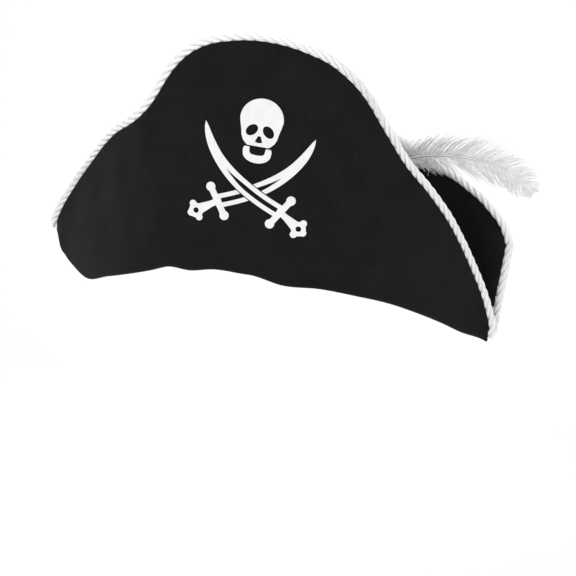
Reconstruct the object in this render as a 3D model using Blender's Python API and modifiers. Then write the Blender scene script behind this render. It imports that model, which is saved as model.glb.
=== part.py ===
"""Pirate hat: a black felt crown with a brim of two panels folded up to the front and the rear,
white twisted-cord edging, a white flocked skull and cutlasses, and a white plume whose quill is
tacked inside the rear panel and lifts about that tack.

Metres, +Z up.  The front faces -Y and the wearer's left is +X.  The origin is the centre of the
head opening, on the sweatband's lower rim.
"""

import math

import bmesh
import bpy
import numpy as np
from mathutils import Matrix, Vector

# --- driving dimensions, metres -------------------------------------------------------------
GAP = 0.0003                 # clearance between pieces that touch
FELT = 0.0024                # thickness of the felt

HEAD_HALF_WIDTH = 0.080      # head opening inside the sweatband, about 57 cm round
HEAD_HALF_DEPTH = 0.102
BAND_THICKNESS = 0.0010
BAND_HEIGHT = 0.026

CROWN_HEIGHT = 0.122         # top of the felt above the head opening
CROWN_BASE = 0.0010          # lower edge of the crown's felt
CROWN_SQUARENESS = 3.2       # exponent of the dome's side profile
BAND_CLEARANCE = 0.0006      # between the sweatband and the crown's felt

LEFT_REACH = 0.200           # from the centre to the felt's tip at the wearer's left
RIGHT_REACH = 0.192          # the softer right tip curls in a little
PANEL_HALF_DEPTH = 0.120     # from the centre to each panel's middle surface
PLAN_POWER = 3.0             # the panels' plan is y = depth * (1 - |q| ** power) ** pinch
PLAN_PINCH = 1.5
SEAM_HEIGHT = 0.0022         # where the brim is sewn to the crown's lower edge
FOLD_RISE = 0.007            # height over which the fold turns up into the panel
FOLD_WEIGHT = 1.5            # how tightly the fold hugs its corner
SEAM_HALF_GAP = 0.0007       # half the space between the two panels along a side seam
TIP_HALF_GAP = 0.0018        # the same at the tips, where both panels stand upright
SPLAY = 0.22                 # outward lean of the panels at the tips
REAR_FLARE = 0.07            # outward slant of the rear panel's end edges
CROWN_CORNER = 0.60          # share of the reach where a panel leaves the crown's side
REAR_RIGHT_SAG = 0.016       # how much lower the rear edge runs on the wearer's right
REAR_TIP_SAG = 0.022         # and by how much more at that tip

CORD_RADIUS = 0.0035         # edging cord
CORD_GAP = 0.0010
TIP_CORD_RADIUS = 0.0016     # the cord's radius where it is sewn into a tip
PRINT_THICKNESS = 0.0005     # flocked layer on the front panel

# Heights above the head opening against the share of the reach, from the centre to a tip.
# A fold's height is that of its sharp corner; the rounded felt stays a few millimetres above it.
LEFT_FOLD = [(0, -0.0060), (0.15, -0.0124), (0.30, -0.0128), (0.45, -0.0181), (0.58, -0.0254),
             (0.68, -0.0340), (0.80, -0.0470), (0.90, -0.0592), (1.0, -0.0655)]
RIGHT_FOLD = [(0, -0.0060), (0.15, -0.0055), (0.25, -0.0099), (0.36, -0.0108), (0.43, -0.0169),
              (0.52, -0.0244), (0.67, -0.0370), (0.80, -0.0480), (0.88, -0.0442), (0.94, -0.0380),
              (0.98, -0.0290), (1.0, -0.0145)]
FRONT_EDGE = [(0, 0.1875), (0.15, 0.1840), (0.28, 0.1747), (0.40, 0.1547), (0.50, 0.1262),
              (0.58, 0.1038), (0.68, 0.0818), (0.80, 0.0497), (0.90, 0.0162), (0.96, -0.0074),
              (1.0, -0.0270)]
REAR_EDGE = [(0, 0.118), (0.25, 0.107), (0.42, 0.090), (0.55, 0.0760), (0.68, 0.0675), (0.80, 0.0600),
             (0.92, 0.0445), (0.98, 0.0285), (1.0, 0.0180)]
EDGE_LEAN = 0.010            # the front edge runs higher on the wearer's right, and more so
TIP_LEAN = 0.013             # at the tips
HOLLOW_DEPTH = 0.0095        # extra dip of the front edge in its hollow on the wearer's right
HOLLOW_PLACE, HOLLOW_WIDTH = 0.505, 0.10

COLUMNS = 53                 # stations along each panel
FOLD_STEPS = (0.0, 0.2, 0.4, 0.56, 0.7, 0.85)
WALL_ROWS = 7

FRONT, REAR = -1, 1          # side of the hat along Y
LEFT, RIGHT = 1, -1          # wearer's side along X

# Quill's middle line, from its root in the rear panel to the tip.
QUILL = [(0.0580, 0.1090, 0.040), (0.0850, 0.0960, 0.0590), (0.112, 0.0805, 0.0750),
         (0.140, 0.0690, 0.0820), (0.172, 0.0650, 0.0820), (0.202, 0.0700, 0.0730),
         (0.226, 0.0780, 0.0550)]
QUILL_ROOT_RADIUS = 0.0013
VANE_THICKNESS = 0.0014

BLACK_FELT = ((0.013, 0.012, 0.014, 1), 0.95)
WHITE_CORD = ((0.80, 0.79, 0.77, 1), 0.60)
WHITE_FLOCK = ((0.83, 0.83, 0.82, 1), 0.85)
WHITE_FEATHER = ((0.80, 0.80, 0.79, 1), 0.75)
BLACK_RIBBON = ((0.020, 0.019, 0.021, 1), 0.55)
BLACK_THREAD = ((0.030, 0.030, 0.032, 1), 0.60)
WHITE_THREAD = ((0.78, 0.77, 0.74, 1), 0.60)
QUILL_HORN = ((0.74, 0.71, 0.62, 1), 0.35)


def clear_scene():
    for existing in list(bpy.data.objects):
        bpy.data.objects.remove(existing, do_unlink=True)


def make_collection(name):
    collection = bpy.data.collections.new(name)
    bpy.context.scene.collection.children.link(collection)
    return collection


clear_scene()
PARTS = make_collection("pirate_hat")
CUTTERS = make_collection("cutters")


def finish_material(name, look):
    colour, roughness = look
    material = bpy.data.materials.new(name + "_material")
    material.use_nodes = True
    shader = material.node_tree.nodes["Principled BSDF"]
    shader.inputs["Base Color"].default_value = colour
    shader.inputs["Roughness"].default_value = roughness
    shader.inputs["Metallic"].default_value = 0.0
    return material


def add_object(name, data, look=None):
    """A part when it has a look, otherwise a cutter that is left out of the model."""
    item = bpy.data.objects.new(name, data)
    if look:
        data.materials.append(finish_material(name, look))
        PARTS.objects.link(item)
    else:
        item.hide_render = True
        item.display_type = "WIRE"
        CUTTERS.objects.link(item)
    return item


def mesh_from(name, points, faces):
    mesh = bpy.data.meshes.new(name)
    mesh.from_pydata([tuple(p) for p in points], [], faces)
    mesh.validate()
    return mesh


def grid_mesh(name, rows, flip=False):
    """Quads between equal rows of points."""
    width = len(rows[0])
    points = [p for row in rows for p in row]
    faces = []
    for r in range(len(rows) - 1):
        for c in range(width - 1):
            a, b = r * width + c, r * width + c + 1
            quad = (a, b, b + width, a + width)
            faces.append(quad[::-1] if flip else quad)
    mesh = mesh_from(name, points, faces)
    mesh.shade_smooth()
    return mesh


def add_solidify(item, thickness, offset=0.0):
    shell = item.modifiers.new("thickness", "SOLIDIFY")
    shell.thickness = thickness
    shell.offset = offset
    shell.use_even_offset = True
    return shell


def mesh_copy(source, name):
    """The evaluated mesh of an object, in world space, with its loose caps welded."""
    graph = bpy.context.evaluated_depsgraph_get()
    mesh = bpy.data.meshes.new_from_object(source.evaluated_get(graph))
    mesh.transform(source.matrix_world)
    mesh.name = name
    work = bmesh.new()
    work.from_mesh(mesh)
    bmesh.ops.remove_doubles(work, verts=work.verts, dist=1e-6)
    bmesh.ops.recalc_face_normals(work, faces=work.faces)
    work.to_mesh(mesh)
    work.free()
    return mesh


def tube(name, points, look, radius, radii=None, resolution=2, cyclic=False):
    """A round cord or rod along hand-placed or computed points."""
    curve = bpy.data.curves.new(name, "CURVE")
    curve.dimensions = "3D"
    curve.bevel_depth = radius
    curve.bevel_resolution = resolution
    curve.use_fill_caps = not cyclic
    spline = curve.splines.new("POLY")
    spline.points.add(len(points) - 1)
    spline.use_cyclic_u = cyclic
    for i, (dot, p) in enumerate(zip(spline.points, points)):
        dot.co = (*p, 1)
        dot.radius = radii[i] if radii else 1.0
    return add_object(name, curve, look)


def smooth_curve(points):
    """A C1 curve y(x) through a short list of points, flat at the first one."""
    table = np.array(points, float)
    x, y = table[:, 0], table[:, 1]
    step, rise = np.diff(x), np.diff(y) / np.diff(x)
    slope = np.zeros(len(x))
    slope[1:-1] = (rise[:-1] * step[1:] + rise[1:] * step[:-1]) / (step[:-1] + step[1:])
    slope[-1] = rise[-1]

    def value(t):
        i = int(np.clip(np.searchsorted(x, t, "right") - 1, 0, len(x) - 2))
        u = min(max((t - x[i]) / step[i], 0.0), 1.0)
        return (y[i] * (2 * u**3 - 3 * u**2 + 1) + slope[i] * step[i] * (u**3 - 2 * u**2 + u)
                + y[i + 1] * (3 * u**2 - 2 * u**3) + slope[i + 1] * step[i] * (u**3 - u**2))

    return value


def path_through(points, count):
    """Evenly numbered points on a Catmull-Rom curve through the given ones."""
    knots = [Vector(p) for p in points]
    knots = [2 * knots[0] - knots[1]] + knots + [2 * knots[-1] - knots[-2]]
    spans = len(points) - 1
    result = []
    for k in range(count):
        t = spans * k / (count - 1)
        i = min(int(t), spans - 1)
        u = t - i
        a, b, c, d = knots[i:i + 4]
        result.append(0.5 * (2 * b + (c - a) * u + (2 * a - 5 * b + 4 * c - d) * u**2
                             + (3 * b - a - 3 * c + d) * u**3))
    return result


# --- the felt's surfaces --------------------------------------------------------------------
CROWN_WIDTH = HEAD_HALF_WIDTH + BAND_THICKNESS + BAND_CLEARANCE + FELT
CROWN_DEPTH = HEAD_HALF_DEPTH + BAND_THICKNESS + BAND_CLEARANCE + FELT
LEFT_FOLD_HEIGHT = smooth_curve(LEFT_FOLD)
RIGHT_FOLD_HEIGHT = smooth_curve(RIGHT_FOLD)
FRONT_HEIGHT = smooth_curve(FRONT_EDGE)
REAR_HEIGHT = smooth_curve(REAR_EDGE)


def reach(q):
    return LEFT_REACH if q >= 0 else RIGHT_REACH


def fold_height(q):
    return LEFT_FOLD_HEIGHT(q) if q >= 0 else RIGHT_FOLD_HEIGHT(-q)


def edge_height(q, side):
    size = min(abs(q), 1.0)
    if side == FRONT:
        hollow = HOLLOW_DEPTH * math.exp(-((size - HOLLOW_PLACE) / HOLLOW_WIDTH) ** 2) if q < 0 else 0.0
        return FRONT_HEIGHT(size) - hollow - math.copysign(EDGE_LEAN * size + TIP_LEAN * size**6, q)
    sag = REAR_RIGHT_SAG * math.sin(math.pi * size) + REAR_TIP_SAG * size**3 if q < 0 else 0.0
    return REAR_HEIGHT(size) - sag


def panel_depth(q):
    """A panel's distance from the middle plane Y = 0 at its foot."""
    bulge = (1 - min(abs(q), 1.0) ** PLAN_POWER) ** PLAN_PINCH
    return TIP_HALF_GAP + (PANEL_HALF_DEPTH - TIP_HALF_GAP) * bulge


def panel_point(q, z, side, outward=0.0):
    """A point of the panel's middle surface, or at a distance outward from it."""
    size = min(abs(q), 1.0)
    above = z - fold_height(q)
    x = reach(q) * q
    y = panel_depth(q) + SPLAY * size**6 * above
    if side == REAR:
        x += math.copysign(REAR_FLARE * size**6 * above, q)
    point = Vector((x, side * y, z))
    if outward:
        point += outward * panel_normal(q, side)
    return point


def panel_slope(q):
    """How fast a panel's distance from the middle plane grows along X."""
    step = 0.0005
    return (panel_depth(q + step) - panel_depth(q - step)) / (2 * step * reach(q))


def panel_normal(q, side):
    """Horizontal unit normal of the panel, pointing away from the head."""
    tangent = Vector((1, side * panel_slope(q), 0)).normalized()
    return Vector((-side * tangent.y, side * tangent.x, 0))


def inner_edge(q, side):
    """Where a panel meets the crown's side or, farther out, the other panel."""
    share = abs(q) / CROWN_CORNER
    clear = GAP + 0.0006
    if share <= 1:
        angle = share * math.pi / 2
        x = (CROWN_WIDTH + clear) * math.sin(angle)
        y = max((CROWN_DEPTH + clear) * math.cos(angle), SEAM_HALF_GAP)
        z = SEAM_HEIGHT
    else:
        share = (abs(q) - CROWN_CORNER) / (1 - CROWN_CORNER)
        x = (CROWN_WIDTH + clear) * (1 - share) + reach(q) * share
        y = SEAM_HALF_GAP * (1 - share) + TIP_HALF_GAP * share
        z = SEAM_HEIGHT * (1 - share) + fold_height(math.copysign(1.0, q)) * share
    return Vector((math.copysign(x, q), side * y, z))


def panel_stations():
    return [math.sin(math.pi / 2 * t) * 0.35 + 0.65 * t for t in np.linspace(-1, 1, COLUMNS)]


def fold_curve(start, corner, turn, t):
    """A conic arc that leaves start, rounds the corner and arrives at turn."""
    weights = (1 - t) ** 2, 2 * FOLD_WEIGHT * t * (1 - t), t**2
    return (weights[0] * start + weights[1] * corner + weights[2] * turn) / sum(weights)


def brim_panel(name, side):
    columns = []
    for q in panel_stations():
        low = fold_height(q)
        start, corner = inner_edge(q, side), panel_point(q, low, side)
        turn = panel_point(q, low + FOLD_RISE, side)
        column = [fold_curve(start, corner, turn, t) for t in FOLD_STEPS]
        top = edge_height(q, side)
        for k in range(WALL_ROWS + 1):
            z = low + FOLD_RISE + (top - low - FOLD_RISE) * k / WALL_ROWS
            column.append(panel_point(q, z, side))
        columns.append(column)
    panel = add_object(name, grid_mesh(name, columns, flip=side == REAR), BLACK_FELT)
    add_solidify(panel, FELT)
    return panel


def edge_cord(name, side):
    """Cord that caps a panel's felt edge and tapers into the corner at each tip."""
    flat = [(q, edge_height(q, side)) for q in panel_stations()]
    end_step = 0.009
    tails = {}
    for end in (-1, 1):
        top, low = edge_height(end, side), fold_height(end) + 0.004
        count = max(int((top - low) / end_step), 1)
        tails[end] = [(float(end), top + (low - top) * k / count) for k in range(1, count + 1)]
    flat = tails[-1][::-1] + flat + tails[1]
    offset = CORD_RADIUS + CORD_GAP
    points, radii = [], []
    for i, (q, z) in enumerate(flat):
        before, after = flat[max(i - 1, 0)], flat[min(i + 1, len(flat) - 1)]
        stretch = reach(q) * math.hypot(1, panel_slope(q))
        along = ((after[0] - before[0]) * stretch, after[1] - before[1])
        size = math.hypot(*along)
        away = (-along[1] / size, along[0] / size)
        height = z - fold_height(q)
        taper = min(1.0, (TIP_CORD_RADIUS + SPLAY * height) / CORD_RADIUS) if abs(q) > 0.999 else 1.0
        lift = offset * taper
        base = panel_point(q, z, side)
        tangent = Vector((1, side * panel_slope(q), 0)).normalized()
        points.append(base + tangent * away[0] * lift + Vector((0, 0, away[1] * lift)))
        radii.append(taper)
    return tube(name, points, WHITE_CORD, CORD_RADIUS, radii=radii)


# --- crown and sweatband ----------------------------------------------------------------------
def turned_oval(name, profile, half_width, half_depth, steps):
    """A unit-radius profile turned about Z and stretched to the head's oval."""
    curve = bpy.data.meshes.new(name + "_profile")
    work = bmesh.new()
    dots = [work.verts.new((r, 0, z)) for r, z in profile]
    for a, b in zip(dots, dots[1:]):
        work.edges.new((a, b))
    work.to_mesh(curve)
    work.free()
    guide = add_object(name + "_profile", curve)
    screw = guide.modifiers.new("turn", "SCREW")
    screw.steps = screw.render_steps = steps
    screw.use_merge_vertices = True
    screw.merge_threshold = 0.0001
    mesh = mesh_copy(guide, name)
    bpy.data.objects.remove(guide, do_unlink=True)
    mesh.transform(Matrix.Diagonal((half_width, half_depth, 1, 1)))
    mesh.shade_smooth()
    return mesh


def dome_radius(z):
    """Share of the crown's base radius at a height on its outer surface."""
    share = min(max((z - CROWN_BASE) / (CROWN_HEIGHT - CROWN_BASE), 0.0), 1.0)
    return (1 - share**CROWN_SQUARENESS) ** (1 / CROWN_SQUARENESS)


def crown():
    rows = 12
    profile = []
    for k in range(rows + 1):
        lift = math.sin(math.pi / 2 * k / rows) ** 1.2
        z = CROWN_BASE + (CROWN_HEIGHT - CROWN_BASE) * lift
        profile.append((dome_radius(z), z))
    mesh = turned_oval("crown", profile[::-1], CROWN_WIDTH, CROWN_DEPTH, 48)
    shell = add_object("crown", mesh, BLACK_FELT)
    add_solidify(shell, FELT, offset=-1.0)


def sweatband():
    mesh = turned_oval("sweatband", [(1, BAND_HEIGHT), (1, 0)], HEAD_HALF_WIDTH, HEAD_HALF_DEPTH, 48)
    band = add_object("sweatband", mesh, BLACK_RIBBON)
    add_solidify(band, BAND_THICKNESS, offset=1.0)


def oval_ring(half_width, half_depth, z, count):
    turn = [2 * math.pi * k / count for k in range(count)]
    return [(half_width * math.cos(a), half_depth * math.sin(a), z) for a in turn]


def sweatband_stitching():
    radius = 0.0004
    inset = radius + GAP
    ring = oval_ring(HEAD_HALF_WIDTH - inset, HEAD_HALF_DEPTH - inset, 0.005, 72)
    tube("sweatband_stitching", ring, BLACK_THREAD, radius, resolution=1, cyclic=True)


# --- seams and tacks ----------------------------------------------------------------------------
def side_seam(name, hand):
    """Overcast thread that joins the two panels along the bottom of a side trough."""
    stitches, half_width, radius = 15, 0.0032, 0.0004
    clear = FELT / 2 + radius + 0.0012
    points = []
    for k in range(2 * stitches + 1):
        share = 0.06 + 0.66 * k / (2 * stitches)
        q = hand * (CROWN_CORNER + (1 - CROWN_CORNER) * share)
        base = inner_edge(q, FRONT)
        swing = half_width * (1 if k % 2 else -1) * (1 - 0.6 * share)
        points.append((base.x, swing, base.z + clear))
    tube(name, points, BLACK_THREAD, radius, resolution=1)


def rod(name, start, end, radius, look, sides=10):
    start, end = Vector(start), Vector(end)
    work = bmesh.new()
    bmesh.ops.create_cone(work, cap_ends=True, segments=sides, radius1=radius, radius2=radius,
                          depth=(end - start).length)
    mesh = bpy.data.meshes.new(name)
    work.to_mesh(mesh)
    work.free()
    item = add_object(name, mesh, look)
    item.location = (start + end) / 2
    item.rotation_mode = "QUATERNION"
    item.rotation_quaternion = (end - start).to_track_quat("Z", "Y")
    return item


def panel_tack(name, side, hand):
    """Short thread shank that holds a panel to the crown, just above the fold."""
    x, z, radius = 0.016 * hand, 0.017, 0.0008
    crown_y = CROWN_DEPTH * dome_radius(z) * math.sqrt(1 - (x / CROWN_WIDTH) ** 2)
    q = x / reach(hand)
    panel_y = abs(panel_point(q, z, side).y) - FELT / 2
    rod(name, (x, side * (crown_y + GAP), z), (x, side * (panel_y - GAP), z), radius, BLACK_THREAD)


# --- flocked print --------------------------------------------------------------------------------
PRINT_CENTRE_X = -0.0028     # where the cutlasses cross
PRINT_CENTRE_Z = 0.0657
PRINT_TILT = math.radians(3.5)   # the print leans over to the wearer's left
CROSSING = 0.757             # share along a blade's line at which the two cross
BLADE_HALF_WIDTH = 0.0055
PRISM_DEPTH = 0.050
PRISM_Y = -PANEL_HALF_DEPTH


def prism(name, loops, extra_depth=0.0):
    """Flat outlines in the XZ plane, extruded along Y; unequal depths keep the caps apart."""
    curve = bpy.data.curves.new(name, "CURVE")
    curve.dimensions = "2D"
    curve.fill_mode = "BOTH"
    curve.extrude = PRISM_DEPTH / 2 + extra_depth
    for loop in loops:
        spline = curve.splines.new("POLY")
        spline.points.add(len(loop) - 1)
        spline.use_cyclic_u = True
        for dot, (x, z) in zip(spline.points, loop):
            leaned = (x * math.cos(PRINT_TILT) + z * math.sin(PRINT_TILT),
                      z * math.cos(PRINT_TILT) - x * math.sin(PRINT_TILT))
            dot.co = (*leaned, 0, 1)
    flat = add_object(name + "_outline", curve)
    flat.rotation_euler = (math.pi / 2, 0, 0)
    flat.location = (PRINT_CENTRE_X, PRISM_Y, PRINT_CENTRE_Z)
    bpy.context.view_layer.update()
    mesh = mesh_copy(flat, name)
    bpy.data.objects.remove(flat, do_unlink=True)
    return mesh


def add_boolean(item, other, operation):
    change = item.modifiers.new(other.name, "BOOLEAN")
    change.operation = operation
    change.object = other
    change.solver = "EXACT"


def print_layer():
    """Thin curved layer just outside the front panel, from which the print is cut."""
    rows = []
    for z in np.linspace(0.030, 0.160, 14):
        row = []
        for q in np.linspace(-0.32, 0.32, 17):
            gap = FELT / 2 + GAP + PRINT_THICKNESS / 2
            row.append(panel_point(q, z, FRONT, outward=gap))
        rows.append(row)
    layer = add_object("print_layer", grid_mesh("print_layer", rows))
    add_solidify(layer, PRINT_THICKNESS)
    return layer


def oval(cx, cz, rx, rz, count=24, squareness=2.0):
    result = []
    for k in range(count):
        a = 2 * math.pi * k / count
        c, s = math.cos(a), math.sin(a)
        scale = (abs(c) ** squareness + abs(s) ** squareness) ** (-1 / squareness)
        result.append((cx + rx * c * scale, cz + rz * s * scale))
    return result


def mirror_x(points):
    return [(-x, z) for x, z in points][::-1]


def skull_outline():
    """Egg-shaped cranium, widest above the eyes, that narrows to a flat cheek line."""
    widest, half_width, rise = 0.0600, 0.0178, 0.0169
    top = [(half_width * math.cos(a), widest + rise * math.sin(a))
           for a in np.linspace(0, math.pi, 21)]
    cheek = [(0.0088, 0.0379), (0.0106, 0.0392), (0.0132, 0.0420), (0.0147, 0.0455),
             (0.0155, 0.0500), (0.0169, 0.0550)]
    return top + mirror_x(cheek) + cheek


def jaw_outline():
    """Wide cup below the cheek line with an open mouth at its top."""
    half_width, shoulder, depth = 0.0116, 0.0318, 0.0078
    lower = [(half_width * math.cos(a), shoulder + depth * math.sin(a))
             for a in np.linspace(math.pi, 2 * math.pi, 17)]
    mouth = [(0.0118, 0.0345), (0.0110, 0.0367), (0.0068, 0.0367), (0.0062, 0.0322),
             (0.0044, 0.0308), (0.0, 0.0304)]
    return lower + mouth + mirror_x(mouth[:-1])


def blade_line(t):
    """Middle line of a cutlass blade, from the tip at the upper left to the guard."""
    tip, bend, guard = Vector((-0.0453, 0.0510)), Vector((-0.0340, 0.0100)), Vector((0.0262, -0.0124))
    return (1 - t) ** 2 * tip + 2 * t * (1 - t) * bend + t**2 * guard


def across_blade(t):
    along = (blade_line(t + 0.01) - blade_line(t)).normalized()
    return Vector((-along.y, along.x))


def strip_outline(start, end, half_width, count=20):
    """Outline of a strip along the blade's line whose half width follows a function of t."""
    left, right = [], []
    for k in range(count + 1):
        t = start + (end - start) * k / count
        shift = across_blade(t) * half_width(t)
        left.append(blade_line(t) + shift)
        right.append(blade_line(t) - shift)
    return [tuple(p) for p in left + right[::-1]]


def blade_outline(extra=0.0, start=0.0, end=1.0):
    def half_width(t):
        swell = min(max((t - 0.3) / 0.45, 0.0), 1.0)
        swell = 0.76 + 0.24 * swell * swell * (3 - 2 * swell)
        return BLADE_HALF_WIDTH * (1 - (1 - t) ** 6) ** 0.8 * swell + extra + 0.0001

    return strip_outline(start, end, half_width)


def fuller_outline():
    """Groove along the lower half of a blade, which shows the felt and tapers to a point."""
    return strip_outline(0.49, 0.975, lambda t: 0.0019 * min((t - 0.48) / 0.2, 1.0), count=14)


def along_grip(distance, across=0.0):
    """A place measured from the guard towards the pommel."""
    guard, pommel = blade_line(1.0), Vector((0.0436, -0.0240))
    forward = (pommel - guard).normalized()
    return guard + forward * distance + Vector((-forward.y, forward.x)) * across


def bar_outline(a, b, half):
    a, b = Vector(a), Vector(b)
    along = (b - a).normalized() * half
    across = Vector((-along.y, along.x))
    return [tuple(p) for p in (a + across, a - across, b - across, b + across)]


def hilt_outlines():
    """Guard with ball ends, flared grip, and a ring pommel with three lobes."""
    guard_half, pommel_at = 0.0130, 0.0200
    ends = [along_grip(0.0, guard_half), along_grip(0.0, -guard_half)]
    grip = [along_grip(-0.004, -0.0025), along_grip(-0.004, 0.0025), along_grip(0.006, 0.0026),
            along_grip(0.017, 0.0044), along_grip(0.017, -0.0044), along_grip(0.006, -0.0026)]
    shapes = [bar_outline(ends[0], ends[1], 0.0026), [tuple(p) for p in grip][::-1]]
    shapes += [oval(e.x, e.y, 0.0039, 0.0039, 14) for e in ends]
    pommel = along_grip(pommel_at)
    shapes.append(oval(pommel.x, pommel.y, 0.0061, 0.0061, 18))
    lobes = [along_grip(pommel_at, 0.0060), along_grip(pommel_at, -0.0060), along_grip(pommel_at + 0.0048)]
    shapes += [oval(lobe.x, lobe.y, 0.0030, 0.0030, 11) for lobe in lobes]
    return shapes, oval(pommel.x, pommel.y, 0.0024, 0.0024, 10)


def print_island(name, solids, cuts, layer):
    """The union of some prisms, less others, kept only inside the print layer."""
    body = add_object(name, prism(name, [solids[0]]), WHITE_FLOCK)
    changes = [("UNION", loop) for loop in solids[1:]] + [("DIFFERENCE", loop) for loop in cuts]
    for i, (operation, loop) in enumerate(changes):
        label = f"{name}_{operation.lower()}_{i}"
        add_boolean(body, add_object(label, prism(label, [loop], 0.001 * (i + 1))), operation)
    add_boolean(body, layer, "INTERSECT")


def eye_outline():
    """Rounded socket that slopes down and outward."""
    centre, long_half, short_half, slope = Vector((-0.0068, 0.0505)), 0.0056, 0.0040, math.radians(45)
    along, across = Vector((math.cos(slope), math.sin(slope))), Vector((-math.sin(slope), math.cos(slope)))
    turns = [2 * math.pi * k / 18 for k in range(18)]
    points = [centre + along * long_half * math.cos(a) + across * short_half * math.sin(a) for a in turns]
    return [tuple(p) for p in points]


def front_print():
    layer = print_layer()
    eye = eye_outline()
    nose = [(-0.0031, 0.0413), (0.0, 0.0405), (0.0031, 0.0413), (0.0012, 0.0462), (-0.0012, 0.0462)]
    print_island("print_cranium", [skull_outline()], [eye, mirror_x(eye), nose], layer)
    print_island("print_jaw", [jaw_outline()], [], layer)
    shapes, ring_hole = hilt_outlines()
    fuller = fuller_outline()
    print_island("print_cutlass_front", [blade_outline()] + shapes, [ring_hole, fuller], layer)
    front_blade = blade_outline(extra=0.0009)
    print_island("print_cutlass_rear_blade", [mirror_x(blade_outline(end=CROSSING))],
                 [front_blade, mirror_x(fuller)], layer)
    hilt = [mirror_x(blade_outline(start=CROSSING))] + [mirror_x(s) for s in shapes]
    print_island("print_cutlass_rear_hilt", hilt,
                 [front_blade, mirror_x(ring_hole), mirror_x(fuller)], layer)


# --- plume --------------------------------------------------------------------------------------
QUILL_SAMPLES = 25
ROOT = Vector(QUILL[0])
ROOT_Q = ROOT.x / LEFT_REACH
ROOT_NORMAL = panel_normal(ROOT_Q, REAR)


def quill_line():
    return path_through(QUILL, QUILL_SAMPLES)


def plume_quill():
    points = quill_line()
    back = (points[1] - points[0]).normalized() * 0.008
    points = [points[0] - back] + points
    radii = [1.0] + [1.0 - 0.72 * k / (QUILL_SAMPLES - 1) for k in range(QUILL_SAMPLES)]
    tube("plume_quill", points, QUILL_HORN, QUILL_ROOT_RADIUS, radii=radii)


def plume_vane(name, up, width, start):
    """One thin web of the feather, on the upper or the lower side of the quill."""
    points = quill_line()
    rows = []
    first = int(start * (QUILL_SAMPLES - 1))
    for k in range(first, QUILL_SAMPLES):
        share = (k - first) / (QUILL_SAMPLES - 1 - first)
        here = points[k]
        along = (points[min(k + 1, QUILL_SAMPLES - 1)] - points[k - 1]).normalized()
        across = up * (Vector((0, 1, 0)).cross(along) * -1).normalized()
        spread = width * math.sin(math.pi * min(share * 0.86 + 0.12, 1.0)) ** 0.6
        lean = along * spread * 0.5
        near = QUILL_ROOT_RADIUS + GAP + 0.0002
        rows.append([here + across * (near + (spread - near) * s) + lean * s * s
                     for s in (0.0, 0.33, 0.66, 1.0)])
    vane = add_object(name, grid_mesh(name, rows), WHITE_FEATHER)
    add_solidify(vane, VANE_THICKNESS)


def plume_binding():
    """Thread wound over the quill's root."""
    line = quill_line()
    along = (line[1] - line[0]).normalized()
    inner, outer, length = QUILL_ROOT_RADIUS + GAP, QUILL_ROOT_RADIUS + 0.0009, 0.006
    profile = [(inner, 0), (outer, 0), (outer, length), (inner, length)]
    work = bmesh.new()
    dots = [work.verts.new((r, 0, z)) for r, z in profile]
    edges = [work.edges.new((dots[i], dots[(i + 1) % 4])) for i in range(4)]
    bmesh.ops.spin(work, geom=dots + edges, cent=(0, 0, 0), axis=(0, 0, 1), angle=2 * math.pi,
                   steps=14, use_merge=True)
    bmesh.ops.remove_doubles(work, verts=work.verts, dist=1e-6)
    bmesh.ops.recalc_face_normals(work, faces=work.faces)
    mesh = bpy.data.meshes.new("plume_binding")
    work.to_mesh(mesh)
    work.free()
    item = add_object("plume_binding", mesh, WHITE_THREAD)
    item.location = line[0] + along * 0.003
    item.rotation_mode = "QUATERNION"
    item.rotation_quaternion = along.to_track_quat("Z", "Y")


def plume_patch():
    """Small felt disc that backs the tack on the rear panel's inner face."""
    thickness, radius = 0.0016, 0.010
    base = panel_point(ROOT_Q, ROOT.z, REAR)
    far = base - ROOT_NORMAL * (FELT / 2 + 3 * GAP)
    rod("plume_patch", far, far - ROOT_NORMAL * thickness, radius, BLACK_FELT, sides=20)
    return far - ROOT_NORMAL * thickness


def plume_tack_loop(patch_face):
    """Thread loop that holds the quill to the patch, and about which the plume lifts."""
    radius, wire = QUILL_ROOT_RADIUS + 0.0019, 0.0004
    line = quill_line()
    along = (line[1] - line[0]).normalized()
    across = along.cross(ROOT_NORMAL).normalized()
    centre = ROOT
    foot = (patch_face - centre).dot(ROOT_NORMAL) - wire - GAP
    points = [centre + across * radius + ROOT_NORMAL * foot]
    for k in range(9):
        a = math.pi * k / 8
        points.append(centre + across * radius * math.cos(a) - ROOT_NORMAL * radius * math.sin(a))
    points.append(centre - across * radius + ROOT_NORMAL * foot)
    tube("plume_tack_loop", points, WHITE_THREAD, wire, resolution=1)


crown()
sweatband()
sweatband_stitching()
brim_panel("front_brim", FRONT)
brim_panel("rear_brim", REAR)
edge_cord("front_edge_cord", FRONT)
edge_cord("rear_edge_cord", REAR)
side_seam("side_seam_left", LEFT)
side_seam("side_seam_right", RIGHT)
for side_name, side_sign in (("front", FRONT), ("rear", REAR)):
    for hand_name, hand_sign in (("left", LEFT), ("right", RIGHT)):
        panel_tack(f"{side_name}_tack_{hand_name}", side_sign, hand_sign)
front_print()
plume_quill()
plume_vane("plume_vane_upper", 1, 0.024, 0.22)
plume_vane("plume_vane_lower", -1, 0.021, 0.55)
plume_binding()
plume_tack_loop(plume_patch())
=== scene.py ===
"""Looks of the pirate hat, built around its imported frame.

Metres, +Z up, the front faces -Y and the wearer's left is +X, as in the frame.  Black felt with a
soft hand-steamed unevenness, twisted white edging cord, a flocked print and a loose white plume.
"""

import math

import bpy
import numpy as np
from mathutils import Matrix, Vector


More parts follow.
